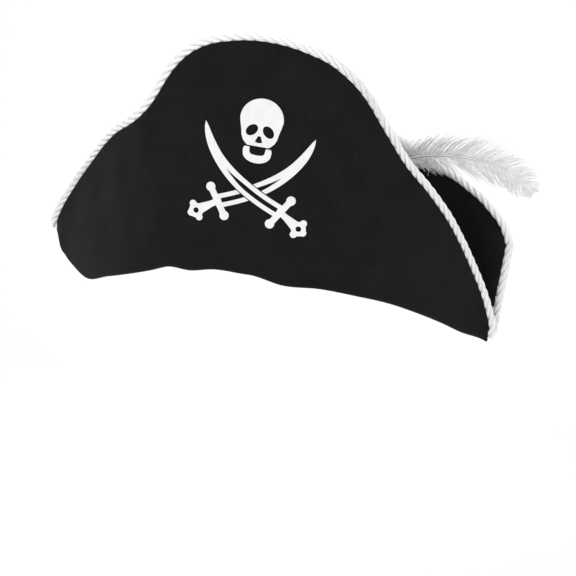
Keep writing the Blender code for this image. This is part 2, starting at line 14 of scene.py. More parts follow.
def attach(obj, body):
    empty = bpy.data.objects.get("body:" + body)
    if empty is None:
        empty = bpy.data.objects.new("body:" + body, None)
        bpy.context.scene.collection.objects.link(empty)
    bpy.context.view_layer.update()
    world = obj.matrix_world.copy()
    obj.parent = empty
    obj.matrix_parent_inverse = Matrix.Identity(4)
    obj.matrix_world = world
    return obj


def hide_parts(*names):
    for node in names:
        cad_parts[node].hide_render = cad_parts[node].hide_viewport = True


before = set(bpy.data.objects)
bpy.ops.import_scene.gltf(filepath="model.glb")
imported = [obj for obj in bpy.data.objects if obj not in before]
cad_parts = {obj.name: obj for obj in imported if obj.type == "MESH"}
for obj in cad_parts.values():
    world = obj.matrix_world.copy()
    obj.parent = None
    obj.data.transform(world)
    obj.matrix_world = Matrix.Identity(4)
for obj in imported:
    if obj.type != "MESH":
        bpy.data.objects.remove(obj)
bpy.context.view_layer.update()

# --- the hat's dimensions, as in its frame ----------------------------------------------------
FELT = 0.0024
SHARED_GAP = 0.0003
HEAD_HALF_WIDTH, HEAD_HALF_DEPTH = 0.080, 0.102
BAND_THICKNESS, BAND_HEIGHT, BAND_CLEARANCE = 0.0010, 0.026, 0.0006
CROWN_HEIGHT, CROWN_BASE, CROWN_SQUARENESS = 0.122, 0.0010, 3.2
LEFT_REACH, RIGHT_REACH = 0.200, 0.192
PANEL_HALF_DEPTH = 0.120
PLAN_POWER, PLAN_PINCH = 3.0, 1.5
SEAM_HEIGHT, FOLD_RISE, FOLD_WEIGHT = 0.0022, 0.007, 1.5
TIP_HALF_GAP = 0.0018
SPLAY, REAR_FLARE = 0.22, 0.07
CROWN_CORNER = 0.60
EDGE_LEAN, TIP_LEAN, REAR_RIGHT_SAG, REAR_TIP_SAG = 0.010, 0.013, 0.016, 0.022
HOLLOW_DEPTH, HOLLOW_PLACE, HOLLOW_WIDTH = 0.0095, 0.505, 0.10
CORD_RADIUS, CORD_GAP, TIP_CORD_RADIUS = 0.0035, 0.0010, 0.0016
FRONT, REAR = -1, 1          # side of the hat along Y
LEFT, RIGHT = 1, -1          # wearer's side along X

# Heights above the head opening against the share of the reach, from the centre to a tip.
LEFT_FOLD = [(0, -0.0060), (0.15, -0.0124), (0.30, -0.0128), (0.45, -0.0181), (0.58, -0.0254),
             (0.68, -0.0340), (0.80, -0.0470), (0.90, -0.0592), (1.0, -0.0655)]
RIGHT_FOLD = [(0, -0.0060), (0.15, -0.0055), (0.25, -0.0099), (0.36, -0.0108), (0.43, -0.0169),
              (0.52, -0.0244), (0.67, -0.0370), (0.80, -0.0480), (0.88, -0.0442), (0.94, -0.0380),
              (0.98, -0.0290), (1.0, -0.0145)]
FRONT_EDGE = [(0, 0.1875), (0.15, 0.1840), (0.28, 0.1747), (0.40, 0.1547), (0.50, 0.1262),
              (0.58, 0.1038), (0.68, 0.0818), (0.80, 0.0497), (0.90, 0.0162), (0.96, -0.0074),
              (1.0, -0.0270)]
REAR_EDGE = [(0, 0.118), (0.25, 0.107), (0.42, 0.090), (0.55, 0.0760), (0.68, 0.0675), (0.80, 0.0600),
             (0.92, 0.0445), (0.98, 0.0285), (1.0, 0.0180)]

# The quill's middle line, from its root in the rear panel to the tip.
QUILL = [(0.0580, 0.1090, 0.040), (0.0850, 0.0960, 0.0590), (0.112, 0.0805, 0.0750),
         (0.140, 0.0690, 0.0820), (0.172, 0.0650, 0.0820), (0.202, 0.0700, 0.0730),
         (0.226, 0.0780, 0.0550)]
QUILL_ROOT_RADIUS = 0.0013

# --- detail of the felt, the sewing and the plume ---------------------------------------------
FELT_CLEARANCE = 0.0002      # between the brim's seam and the crown's side
SEWN_HALF_GAP = 0.0001       # half the space between the two panels along a side seam
CORD_SEAT = 0.0001           # how far the cord sinks into the felt's edge
CORD_LAY = 0.0275            # length of one full turn of the cord's plies
FUZZ_HAIRS = 1500            # loose hairs on each panel
FUZZ_LENGTHS = (0.0008, 0.0026)
LAP_START = math.radians(86)  # where the sweatband's ribbon starts, at the rear
LAP_LENGTH = math.radians(8)
STITCH_HEIGHT = 0.005        # of the sweatband's stitches above its lower rim
BAND_STITCHES = 104
SEAM_STITCHES = 15           # on each side seam
TACK_X, TACK_Z = 0.016, 0.017
TACK_STRANDS = 5
QUILL_STUB = 0.008           # bare quill behind its root
BARB_STEPS = 14              # stations along each barb
DOWN_BARBS = 70              # loose barbs near the root, on each side
HAIRS_PER_BARB = 26
PATCH_RADIUS, PATCH_THICKNESS = 0.010, 0.0016


# --- materials ----------------------------------------------------------------------------------
class Shader:
    """A Principled material with short ways to add procedural detail."""

    def __init__(self, name, colour, roughness, sheen=0.0, sheen_roughness=0.5, specular=0.5):
        self.material = bpy.data.materials.new(name)
        self.material.use_nodes = True
        self.tree = self.material.node_tree
        self.shader = self.tree.nodes["Principled BSDF"]
        self.colour = colour
        inputs = self.shader.inputs
        inputs["Base Color"].default_value = (*colour, 1)
        inputs["Roughness"].default_value = roughness
        inputs["Sheen Weight"].default_value = sheen
        inputs["Sheen Roughness"].default_value = sheen_roughness
        inputs["Specular IOR Level"].default_value = specular
        self.coordinates = self.add("ShaderNodeTexCoord")
        self.last_bump = None

    def add(self, kind, **settings):
        node = self.tree.nodes.new(kind)
        for key, value in settings.items():
            setattr(node, key, value)
        return node

    def link(self, source, target):
        self.tree.links.new(source, target)

    def place(self, scale, turn):
        """The object's own coordinates, turned and stretched to give a noise its grain."""
        mapping = self.add("ShaderNodeMapping")
        mapping.inputs["Scale"].default_value = scale
        mapping.inputs["Rotation"].default_value = turn
        self.link(self.coordinates.outputs["Object"], mapping.inputs["Vector"])
        return mapping.outputs["Vector"]

    def noise(self, scale, detail=3.0, rough=0.55, vector=None):
        node = self.add("ShaderNodeTexNoise")
        node.inputs["Scale"].default_value = scale
        node.inputs["Detail"].default_value = detail
        node.inputs["Roughness"].default_value = rough
        self.link(vector or self.coordinates.outputs["Object"], node.inputs["Vector"])
        return node.outputs["Fac"]

    def sine(self, vector, across, along, sharp=1.0):
        """A wave over a piece's own UV map: across around the piece, along its length."""
        parts = self.add("ShaderNodeSeparateXYZ")
        self.link(vector, parts.inputs["Vector"])
        terms = []
        for output, rate in (("X", along), ("Y", across)):
            term = self.add("ShaderNodeMath", operation="MULTIPLY")
            self.link(parts.outputs[output], term.inputs[0])
            term.inputs[1].default_value = rate * 2 * math.pi
            terms.append(term.outputs[0])
        total = self.add("ShaderNodeMath", operation="ADD")
        self.link(terms[0], total.inputs[0])
        self.link(terms[1], total.inputs[1])
        wave = self.add("ShaderNodeMath", operation="SINE")
        self.link(total.outputs[0], wave.inputs[0])
        lift = self.add("ShaderNodeMath", operation="MULTIPLY_ADD")
        self.link(wave.outputs[0], lift.inputs[0])
        lift.inputs[1].default_value = 0.5
        lift.inputs[2].default_value = 0.5
        power = self.add("ShaderNodeMath", operation="POWER")
        self.link(lift.outputs[0], power.inputs[0])
        power.inputs[1].default_value = sharp
        return power.outputs[0]

    def ramp(self, value, stops):
        node = self.add("ShaderNodeValToRGB")
        elements = node.color_ramp.elements
        while len(elements) < len(stops):
            elements.new(0.5)
        for element, (place, colour) in zip(elements, stops):
            element.position = place
            element.color = (*colour, 1)
        self.link(value, node.inputs["Fac"])
        return node.outputs["Color"]

    def mix(self, kind, amount, first, second):
        node = self.add("ShaderNodeMix", data_type="RGBA", blend_type=kind)
        node.inputs["Factor"].default_value = amount
        self.link(first, node.inputs["A"])
        self.link(second, node.inputs["B"])
        return node.outputs["Result"]

    def paint(self, colour):
        self.link(colour, self.shader.inputs["Base Color"])

    def roughen(self, value, low, high):
        spread = self.add("ShaderNodeMapRange")
        spread.inputs["To Min"].default_value = low
        spread.inputs["To Max"].default_value = high
        self.link(value, spread.inputs["Value"])
        self.link(spread.outputs["Result"], self.shader.inputs["Roughness"])

    def bump(self, height, distance, strength):
        node = self.add("ShaderNodeBump")
        node.inputs["Distance"].default_value = distance
        node.inputs["Strength"].default_value = strength
        self.link(height, node.inputs["Height"])
        if self.last_bump:
            self.link(self.last_bump, node.inputs["Normal"])
        self.last_bump = node.outputs["Normal"]
        self.link(self.last_bump, self.shader.inputs["Normal"])


def shade(colour, share):
    return tuple(c * share for c in colour)


def felt_look():
    """Pressed wool-and-polyester felt: matted fibres in all directions, cloudy black dye."""
    look = Shader("black_felt", (0.0058, 0.0052, 0.0062), 0.96, sheen=0.04, sheen_roughness=0.45,
                  specular=0.15)
    cloud = look.noise(38, 4)
    fibres = [look.noise(1, 5, 0.6, look.place((300, 1500, 900), (0.3, 0.5, 0.6))),
              look.noise(1, 5, 0.6, look.place((1500, 420, 1200), (0.9, 0.2, -0.5))),
              look.noise(1, 4, 0.6, look.place((1200, 1100, 330), (0.2, 0.7, 0.4)))]
    base = look.ramp(cloud, [(0.30, shade(look.colour, 0.82)), (0.70, shade(look.colour, 1.25))])
    lint = look.ramp(fibres[2], [(0.52, (0.80, 0.80, 0.80)), (0.74, (1.65, 1.65, 1.70))])
    look.paint(look.mix("MULTIPLY", 1.0, base, lint))
    look.roughen(fibres[0], 0.90, 1.0)
    look.bump(cloud, 0.0012, 0.35)
    for height in fibres:
        look.bump(height, 0.00035, 0.55)
    return look.material


def cord_look(name, colour, fibres_round, turns_per_metre, depth):
    """Spun yarn: fine fibres that wind round each ply, over its own UV map, with painted shade in the
    grooves between the fibres.
    """
    look = Shader(name, colour, 0.62, sheen=0.15, sheen_roughness=0.4, specular=0.35)
    yarn = look.sine(look.coordinates.outputs["UV"], fibres_round, turns_per_metre)
    loose = look.noise(900, 4)
    # painted shade: the colour darkens in the grooves between the fibres, where the yarn wave is low
    groove_shade_tone = look.ramp(yarn, [(0.0, shade(colour, 0.80)), (0.55, colour)])
    wear = look.ramp(loose, [(0.35, (0.90, 0.90, 0.89)), (0.65, (1.0, 1.0, 1.0))])
    look.paint(look.mix("MULTIPLY", 1.0, groove_shade_tone, wear))
    look.bump(yarn, depth, 0.8)
    look.bump(loose, depth, 0.5)
    return look.material


def flock_look():
    """Short white flock fibres that stand up from the print, a little worn at the edges."""
    look = Shader("white_flock", (0.70, 0.695, 0.71), 0.92, sheen=0.2, specular=0.2)
    pile = look.noise(2600, 3, 0.7)
    patches = look.noise(160, 3)
    look.paint(look.ramp(patches, [(0.30, shade(look.colour, 0.93)), (0.60, look.colour)]))
    look.bump(pile, 0.0004, 0.6)
    look.bump(patches, 0.0003, 0.4)
    return look.material


def feather_look():
    look = Shader("white_feather", (0.86, 0.85, 0.86), 0.70, sheen=0.15, specular=0.25)
    streak = look.noise(1, 3, 0.5, look.place((90, 90, 420), (0, 0.5, 0)))
    look.paint(look.ramp(streak, [(0.30, shade(look.colour, 0.90)), (0.62, look.colour)]))
    look.shader.inputs["Subsurface Weight"].default_value = 0.25
    look.shader.inputs["Subsurface Radius"].default_value = (0.002, 0.002, 0.002)
    return look.material


def quill_look():
    """Dry horn with faint streaks along the shaft."""
    look = Shader("quill_horn", (0.78, 0.77, 0.72), 0.38, specular=0.5)
    streak = look.noise(1, 4, 0.6, look.place((60, 900, 900), (0, 0.4, 0)))
    look.paint(look.ramp(streak, [(0.30, shade(look.colour, 0.72)), (0.65, look.colour)]))
    look.roughen(streak, 0.30, 0.48)
    look.bump(streak, 0.0001, 0.5)
    return look.material


def ribbon_look():
    """Grosgrain: ribs across the ribbon and fine warp threads along it, with painted shade in the
    troughs between the ribs.
    """
    look = Shader("black_ribbon", (0.016, 0.015, 0.017), 0.55, sheen=0.1, specular=0.4)
    ribs = look.sine(look.coordinates.outputs["UV"], 0.0, 1100.0)
    warp = look.sine(look.coordinates.outputs["UV"], 3300.0, 0.0)
    stain = look.noise(70, 3)
    # painted shade: the colour darkens in the troughs between the ribs, where the rib wave is low
    look.paint(look.ramp(ribs, [(0.0, shade(look.colour, 0.6)), (0.7, look.colour)]))
    look.roughen(stain, 0.48, 0.66)
    look.bump(ribs, 0.00025, 0.9)
    look.bump(warp, 0.00008, 0.6)
    return look.material


FELT_LOOK = felt_look()
FUZZ_LOOK = Shader("felt_hairs", (0.030, 0.028, 0.031), 0.7, sheen=0.1, specular=0.3).material
CORD_LOOK = cord_look("white_cord", (0.83, 0.825, 0.815), 7.0, 260.0, 0.00022)
BLACK_THREAD_LOOK = cord_look("black_thread", (0.028, 0.028, 0.030), 3.0, 900.0, 0.00005)
WHITE_THREAD_LOOK = cord_look("white_thread", (0.78, 0.77, 0.74), 3.0, 900.0, 0.00005)
FLOCK_LOOK = flock_look()
FEATHER_LOOK = feather_look()
QUILL_LOOK = quill_look()
RIBBON_LOOK = ribbon_look()
FLOOR_LOOK = Shader("pale_floor", (0.86, 0.86, 0.86), 0.9, specular=0.1).material


# --- mesh helpers ---------------------------------------------------------------------------------
def add_piece(name, points, faces, look, uvs=None):
    """A mesh piece that rides later; uvs hold one pair for each point."""
    mesh = bpy.data.meshes.new(name)
    mesh.from_pydata(np.asarray(points, float).tolist(), [], faces)
    if uvs is not None:
        layer = mesh.uv_layers.new(name="UVMap")
        corner_points = np.empty(len(mesh.loops), np.int32)
        mesh.loops.foreach_get("vertex_index", corner_points)
        layer.data.foreach_set("uv", np.asarray(uvs, float)[corner_points].ravel())
    mesh.shade_smooth()
    mesh.materials.append(look)
    item = bpy.data.objects.new(name, mesh)
    bpy.context.scene.collection.objects.link(item)
    return item


def grid_faces(rows, columns, start=0, wrap=False, flip=False):
    """Quads between rows of equal length; wrap closes each row on itself."""
    faces = []
    for r in range(rows - 1):
        for c in range(columns if wrap else columns - 1):
            a = start + r * columns + c
            b = start + r * columns + (c + 1) % columns
            quad = (a, b, b + columns, a + columns)
            faces.append(quad[::-1] if flip else quad)
    return faces


def thicken(item, thickness, offset=0.0):
    shell = item.modifiers.new("thickness", "SOLIDIFY")
    shell.thickness = thickness
    shell.offset = offset
    shell.use_even_offset = True


def unit(vectors):
    return vectors / np.maximum(np.linalg.norm(vectors, axis=-1, keepdims=True), 1e-12)


def resample(path, step):
    """Evenly spaced points along a path, and their distances."""
    path = np.asarray(path, float)
    run = np.concatenate([[0], np.cumsum(np.linalg.norm(np.diff(path, axis=0), axis=1))])
    count = max(int(run[-1] / step), 2)
    wanted = np.linspace(0, run[-1], count + 1)
    return np.stack([np.interp(wanted, run, path[:, k]) for k in range(3)], -1), wanted


def soften(path, width):
    """Rounds the corners of an evenly spaced path, keeping its ends."""
    kernel = np.exp(-0.5 * (np.arange(-3 * width, 3 * width + 1) / width) ** 2)
    kernel /= kernel.sum()
    pad = 3 * width
    ends = (2 * path[0] - path[pad:0:-1], path, 2 * path[-1] - path[-2:-pad - 2:-1])
    padded = np.concatenate(ends)
    return np.stack([np.convolve(padded[:, k], kernel, "valid") for k in range(3)], -1)


def through(points, count):
    """Evenly numbered points on a Catmull-Rom curve through the given ones."""
    knots = np.array(points, float)
    knots = np.concatenate([[2 * knots[0] - knots[1]], knots, [2 * knots[-1] - knots[-2]]])
    t = np.linspace(0, len(points) - 1, count)
    i = np.minimum(t.astype(int), len(points) - 2)
    u = (t - i)[:, None]
    a, b, c, d = (knots[i + k] for k in range(4))
    return 0.5 * (2 * b + (c - a) * u + (2 * a - 5 * b + 4 * c - d) * u**2
                  + (3 * b - a - 3 * c + d) * u**3)


def carried_frames(path):
    """Two side directions, square to a path, that don't twist along it."""
    tangents = unit(np.gradient(path, axis=0))
    side = np.cross(tangents[0], (0.0, 1.0, 0.0))
    if np.linalg.norm(side) < 0.1:
        side = np.cross(tangents[0], (1.0, 0.0, 0.0))
    sides = []
    for tangent in tangents:
        side = unit(side - tangent * (side @ tangent))
        sides.append(side)
    sides = np.array(sides)
    return sides, np.cross(tangents, sides)


def tube_mesh(path, radii, run, sides):
    """Points, faces and UVs of a closed tube; u is the length in metres and v goes round once."""
    first, second = carried_frames(path)
    turns = np.linspace(0, 2 * np.pi, sides, endpoint=False)
    ring = (first[:, None] * np.cos(turns)[None, :, None]
            + second[:, None] * np.sin(turns)[None, :, None])
    points = (path[:, None] + ring * radii[:, None, None]).reshape(-1, 3)
    faces = grid_faces(len(path), sides, wrap=True, flip=True)
    uvs = np.stack([np.repeat(run, sides), np.tile(turns / (2 * np.pi), len(path))], -1)
    faces.append(tuple(range(sides)))
    faces.append(tuple(range(len(points) - 1, len(points) - sides - 1, -1)))
    return points, faces, uvs


def merged(parts):
    """Joins several (points, faces, uvs) into one."""
    points, faces, uvs, start = [], [], [], 0
    for part_points, part_faces, part_uvs in parts:
        points.append(part_points)
        uvs.append(part_uvs)
        faces.extend(tuple(i + start for i in face) for face in part_faces)
        start += len(part_points)
    return np.concatenate(points), faces, np.concatenate(uvs)


def twisted(path, radius, pitch, step, plies=3, sides=12, radii=None, phase=0.0):
    """Plies wound round a path: points, faces and UVs of a laid cord or thread."""
    line, run = resample(path, step)
    scale = np.ones(len(line))
    if radii is not None:
        old = np.linspace(0, 1, len(radii))
        scale = np.interp(run / run[-1], old, radii)
    line = soften(line, 2)
    first, second = carried_frames(line)
    ply = 1 / (1 + 1 / math.sin(math.pi / plies))
    parts = []
    for k in range(plies):
        turn = phase + 2 * np.pi * (k / plies + run / pitch)
        centre = (first * np.cos(turn)[:, None] + second * np.sin(turn)[:, None])
        centre = line + centre * (radius * (1 - ply) * scale)[:, None]
        parts.append(tube_mesh(centre, radius * ply * 1.10 * scale, run, sides))
    return merged(parts)


def ribbons(paths, across, widths, thickness):
    """Flat tapered strands with a diamond section, all with the same number of stations."""
    count, steps = paths.shape[:2]
    along = unit(np.gradient(paths, axis=1))
    normal = unit(np.cross(along, across))
    flat = np.cross(normal, along)
    w = widths[..., None]
    ring = np.stack([paths + flat * w, paths + normal * thickness, paths - flat * w,
                     paths - normal * thickness], 2)
    points = ring.reshape(-1, 3)
    run = np.broadcast_to(np.linspace(0, 1, steps)[None, :, None], (count, steps, 4))
    uvs = np.stack([run, np.broadcast_to(np.arange(4) / 4, run.shape)], -1).reshape(-1, 2)
    faces = []
    for k in range(count):
        base = k * steps * 4
        faces += grid_faces(steps, 4, start=base, wrap=True)
        faces.append((base + 3, base + 2, base + 1, base))
        last = base + (steps - 1) * 4
        faces.append((last, last + 1, last + 2, last + 3))
    return points, faces, uvs


# --- the felt's surfaces --------------------------------------------------------------------------
def smooth_curve(points):
    """A C1 curve y(x) through a short list of points, flat at the first one."""
    table = np.array(points, float)
    x, y = table[:, 0], table[:, 1]
    step, rise = np.diff(x), np.diff(y) / np.diff(x)
    slope = np.zeros(len(x))
    slope[1:-1] = (rise[:-1] * step[1:] + rise[1:] * step[:-1]) / (step[:-1] + step[1:])
    slope[-1] = rise[-1]

    def value(t):
        t = np.asarray(t, float)
        i = np.clip(np.searchsorted(x, t, "right") - 1, 0, len(x) - 2)
        u = np.clip((t - x[i]) / step[i], 0.0, 1.0)
        return (y[i] * (2 * u**3 - 3 * u**2 + 1) + slope[i] * step[i] * (u**3 - 2 * u**2 + u)
                + y[i + 1] * (3 * u**2 - 2 * u**3) + slope[i + 1] * step[i] * (u**3 - u**2))

    return value


LEFT_FOLD_HEIGHT = smooth_curve(LEFT_FOLD)
RIGHT_FOLD_HEIGHT = smooth_curve(RIGHT_FOLD)
FRONT_HEIGHT = smooth_curve(FRONT_EDGE)
REAR_HEIGHT = smooth_curve(REAR_EDGE)
CROWN_WIDTH = HEAD_HALF_WIDTH + BAND_THICKNESS + BAND_CLEARANCE + FELT
CROWN_DEPTH = HEAD_HALF_DEPTH + BAND_THICKNESS + BAND_CLEARANCE + FELT


def reach(q):
    return np.where(q >= 0, LEFT_REACH, RIGHT_REACH)


def fold_height(q):
    return np.where(q >= 0, LEFT_FOLD_HEIGHT(np.abs(q)), RIGHT_FOLD_HEIGHT(np.abs(q)))


def stations(count):
    """Places along a panel from tip to tip, closer together near the tips."""
    t = np.linspace(-1, 1, count)
    return np.sin(np.pi / 2 * t) * 0.35 + 0.65 * t


def edge_height(q, side):
    size = np.minimum(np.abs(q), 1.0)
    if side == FRONT:
        hollow = HOLLOW_DEPTH * np.exp(-((size - HOLLOW_PLACE) / HOLLOW_WIDTH) ** 2) * (q < 0)
        return FRONT_HEIGHT(size) - hollow - np.sign(q) * (EDGE_LEAN * size + TIP_LEAN * size**6)
    sag = REAR_RIGHT_SAG * np.sin(np.pi * size) + REAR_TIP_SAG * size**3
    return REAR_HEIGHT(size) - np.where(q < 0, sag, 0.0)


def panel_depth(q):
    bulge = (1 - np.minimum(np.abs(q), 1.0) ** PLAN_POWER) ** PLAN_PINCH
    return TIP_HALF_GAP + (PANEL_HALF_DEPTH - TIP_HALF_GAP) * bulge


def panel_normal(q, side):
    """Horizontal unit normal of a panel, pointing away from the head."""
    step = 0.0005
    slope = (panel_depth(q + step) - panel_depth(q - step)) / (2 * step * reach(q))
    tangent = unit(np.stack([np.ones_like(slope), side * slope, np.zeros_like(slope)], -1))
    return np.stack([-side * tangent[..., 1], side * tangent[..., 0], np.zeros_like(slope)], -1)


def unevenness(q, z, side):
    """How far the steamed felt strays from its pattern, along its normal; still near the print."""
    size = np.minimum(np.abs(q), 1.0)
    above = np.clip((z - fold_height(q)) / 0.035, 0, 1)
    calm = np.clip((size - 0.30) / 0.25, 0.10, 1) * (1 - size**8) * above**2
    swing = side * 1.7
    waves = (0.85 * np.sin(9.0 * q + 21 * z + swing) + 0.55 * np.sin(17 * q - 33 * z + 2.1 * swing)
             + 0.30 * np.sin(31 * q + 47 * z + 0.6) + 0.16 * np.sin(53 * q - 71 * z + 2.2))
    return 0.00085 * calm * waves


def panel_point(q, z, side, outward=0.0):
    """A point of a panel's middle surface, or at a distance outward from it."""
    q, z = np.broadcast_arrays(np.asarray(q, float), np.asarray(z, float))
    size = np.minimum(np.abs(q), 1.0)
    above = z - fold_height(q)
    x = reach(q) * q
    y = panel_depth(q) + SPLAY * size**6 * above
    if side == REAR:
        x = x + np.sign(q) * REAR_FLARE * size**6 * above
    shift = outward + unevenness(q, z, side)
    return np.stack([x, side * y, z], -1) + shift[..., None] * panel_normal(q, side)


def inner_edge(q, side):
    """Where a panel meets the crown's side or, farther out, the other panel."""
    half_width, half_depth = CROWN_WIDTH + FELT_CLEARANCE, CROWN_DEPTH + FELT_CLEARANCE
    share = np.abs(q) / CROWN_CORNER
    angle = np.minimum(share, 1) * np.pi / 2
    near = np.stack([half_width * np.sin(angle),
                     np.maximum(half_depth * np.cos(angle), SEWN_HALF_GAP),
                     np.full_like(q, SEAM_HEIGHT)], -1)
    along = np.clip((np.abs(q) - CROWN_CORNER) / (1 - CROWN_CORNER), 0, 1)
    tip = fold_height(np.where(q > 0, 1.0, -1.0))
    far = np.stack([half_width * (1 - along) + reach(q) * along,
                    np.full_like(q, SEWN_HALF_GAP),
                    SEAM_HEIGHT * (1 - along) + tip * along], -1)
    point = np.where((share <= 1)[:, None], near, far)
    point[:, 0] *= np.sign(q)
    point[:, 1] *= side
    return point


def felt_panel(name, side, node):
    """A folded brim panel as one continuous felt sheet, from the crown seam to the cut edge."""
    q = stations(261)
    low, top = fold_height(q), edge_height(q, side)
    start, corner = inner_edge(q, side), panel_point(q, low, side)
    turn = panel_point(q, low + FOLD_RISE, side)
    rows = []
    for u in np.linspace(0, 1, 15)[:-1]:
        a, b, c = (1 - u) ** 2, 2 * FOLD_WEIGHT * u * (1 - u), u**2
        rows.append((a * start + b * corner + c * turn) / (a + b + c))
    for u in np.linspace(0, 1, 70):
        rows.append(panel_point(q, low + FOLD_RISE + (top - low - FOLD_RISE) * u, side))
    points = np.array(rows)
    faces = grid_faces(len(rows), len(q), flip=side == FRONT)
    item = add_piece(name, points.reshape(-1, 3), faces, FELT_LOOK)
    thicken(item, FELT)
    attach(item, "hat")
    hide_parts(node)


def felt_fuzz():
    """Loose wool hairs that stand off both faces of the panels, but not over the print."""
    rng = np.random.default_rng(21)
    roots, outs = [], []
    for side in (FRONT, REAR):
        q = rng.uniform(-0.97, 0.97, FUZZ_HAIRS)
        low, top = fold_height(q) + FOLD_RISE, edge_height(q, side)
        z = low + (top - low) * rng.uniform(0.02, 0.98, FUZZ_HAIRS)
        face = rng.choice([-1.0, 1.0], FUZZ_HAIRS)
        normal = panel_normal(q, side) * face[:, None]
        on_print = (side == FRONT) & (face > 0) & (np.abs(q) < 0.34) & (z < 0.15)
        keep = ~on_print
        roots.append((panel_point(q, z, side) + normal * (FELT / 2 - 0.0001))[keep])
        outs.append(normal[keep])
    root, out = np.concatenate(roots), np.concatenate(outs)
    count, steps = len(root), 5
    t = np.linspace(0, 1, steps)[None, :, None]
    heading = unit(rng.normal(0, 1, (count, 1, 3)) + 0.5 * out[:, None])
    size = rng.uniform(*FUZZ_LENGTHS, (count, 1, 1))
    curl = 0.3 * rng.normal(0, 1, (count, 1, 3)) * t**2
    paths = root[:, None] + size * (0.35 * out[:, None] * np.sin(np.pi * 0.6 * t)
                                    + 0.6 * heading * t + curl)
    inside = np.einsum("ijk,ik->ij", paths - root[:, None], out)[..., None]
    paths = paths + np.maximum(0.00005 - inside, 0) * out[:, None]
    widths = np.broadcast_to(0.00003 * (1 - 0.6 * t[..., 0]), paths.shape[:2])
    across = np.broadcast_to(np.array((0.3, 0.2, 0.9)), paths.shape)
    points, faces, uvs = ribbons(paths, across, widths, 0.00002)
    item = add_piece("felt_fuzz", points, faces, FUZZ_LOOK, uvs)
    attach(item, "hat")


def dome_radius(z):
    share = np.clip((z - CROWN_BASE) / (CROWN_HEIGHT - CROWN_BASE), 0, 1)
    return (1 - share**CROWN_SQUARENESS) ** (1 / CROWN_SQUARENESS)


def felt_crown():
    """Blocked crown with the slight dents of a soft hat that has been worn."""
    rows, steps = 70, 192
    lift = np.sin(np.pi / 2 * np.linspace(0, 1, rows)) ** 1.2
    z = CROWN_BASE + (CROWN_HEIGHT - CROWN_BASE) * lift
    turn = np.linspace(0, 2 * np.pi, steps, endpoint=False)
    height, angle = np.meshgrid(z, turn, indexing="ij")
    size = dome_radius(height)
    free = np.clip((height - 0.035) / 0.04, 0, 1)
    dent = 0.0011 * free * (np.sin(3 * angle + 1.2) * size + 0.7 * np.sin(5 * angle + 70 * height)
                            + 0.5 * np.sin(2 * angle - 95 * height + 0.8)) - 0.0016 * free
    x = (CROWN_WIDTH * size + dent * size) * np.cos(angle)
    y = (CROWN_DEPTH * size + dent * size) * np.sin(angle)
    top = np.clip((0.45 - size) / 0.45, 0, 1)
    points = np.stack([x, y, height - 0.0012 * top * (1 + 0.5 * np.cos(2 * angle) * size)], -1)
    points = np.concatenate([points[:-1].reshape(-1, 3), [points[-1].mean(0)]])
    faces = grid_faces(rows - 1, steps, wrap=True)
    last = (rows - 2) * steps
    faces += [(last + k, last + (k + 1) % steps, len(points) - 1) for k in range(steps)]
    item = add_piece("felt_crown", points, faces, FELT_LOOK)
    thicken(item, FELT, offset=-1.0)
    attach(item, "hat")
    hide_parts("crown")


# --- edging cord ------------------------------------------------------------------------------------
def edge_cord(name, side, node, phase):
    """Three-ply twisted cord sewn along a panel's cut edge and into the corner at each tip."""
    q = stations(900)
    z = edge_height(q, side)
    drops = []
    for end in (-1.0, 1.0):
        tip = np.array(end)
        drops.append(np.linspace(edge_height(tip, side), fold_height(tip) + 0.004, 40)[1:])
    z = np.concatenate([drops[0][::-1], z, drops[1]])
    q = np.concatenate([np.full(len(drops[0]), -1.0), q, np.full(len(drops[1]), 1.0)])
    base = panel_point(q, z, side)
    away = unit(np.cross(panel_normal(q, side), unit(np.gradient(base, axis=0)))) * -side
    lean = SPLAY * np.abs(q) ** 6 * (z - fold_height(q))
    room = TIP_CORD_RADIUS + panel_depth(q) - TIP_HALF_GAP + lean
    taper = np.minimum(1.0, room / CORD_RADIUS)
    path = base + away * (CORD_RADIUS * taper - CORD_SEAT)[:, None]
    run = np.concatenate([[0], np.cumsum(np.linalg.norm(np.diff(path, axis=0), axis=1))])
    even = np.interp(np.linspace(0, run[-1], 1500), run, taper)
    points, faces, uvs = twisted(path, CORD_RADIUS, pitch=CORD_LAY, step=0.0008, sides=14,
                                 radii=even, phase=phase)
    item = add_piece(name, points, faces, CORD_LOOK, uvs)
    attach(item, "hat")
    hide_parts(node)


def flock_print():
    """The print's five islands keep their CAD shapes and take the flocked finish."""
    for node_name in ("print_cranium", "print_jaw", "print_cutlass_front",
                      "print_cutlass_rear_blade", "print_cutlass_rear_hilt"):
        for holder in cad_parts[node_name].material_slots:
            holder.material = FLOCK_LOOK


# --- sweatband and sewing ---------------------------------------------------------------------------
def band_point(turn, z, inward=0.0):
    """A point on the sweatband's inner face, or at a distance inward from it."""
    turn, z = np.broadcast_arrays(np.asarray(turn, float), np.asarray(z, float))
    ripple = 0.00012 * np.sin(23 * turn) * np.sin(np.pi * z / BAND_HEIGHT)
    return np.stack([(HEAD_HALF_WIDTH - inward + ripple) * np.cos(turn),
                     (HEAD_HALF_DEPTH - inward + ripple) * np.sin(turn), z], -1)


def lap_step(turn):
    """How far inward the ribbon steps where its end laps over its start at the rear."""
    past = (turn - LAP_START - 2 * np.pi) / 0.05
    return (BAND_THICKNESS + 0.0001) * np.clip(past + 1, 0, 1)


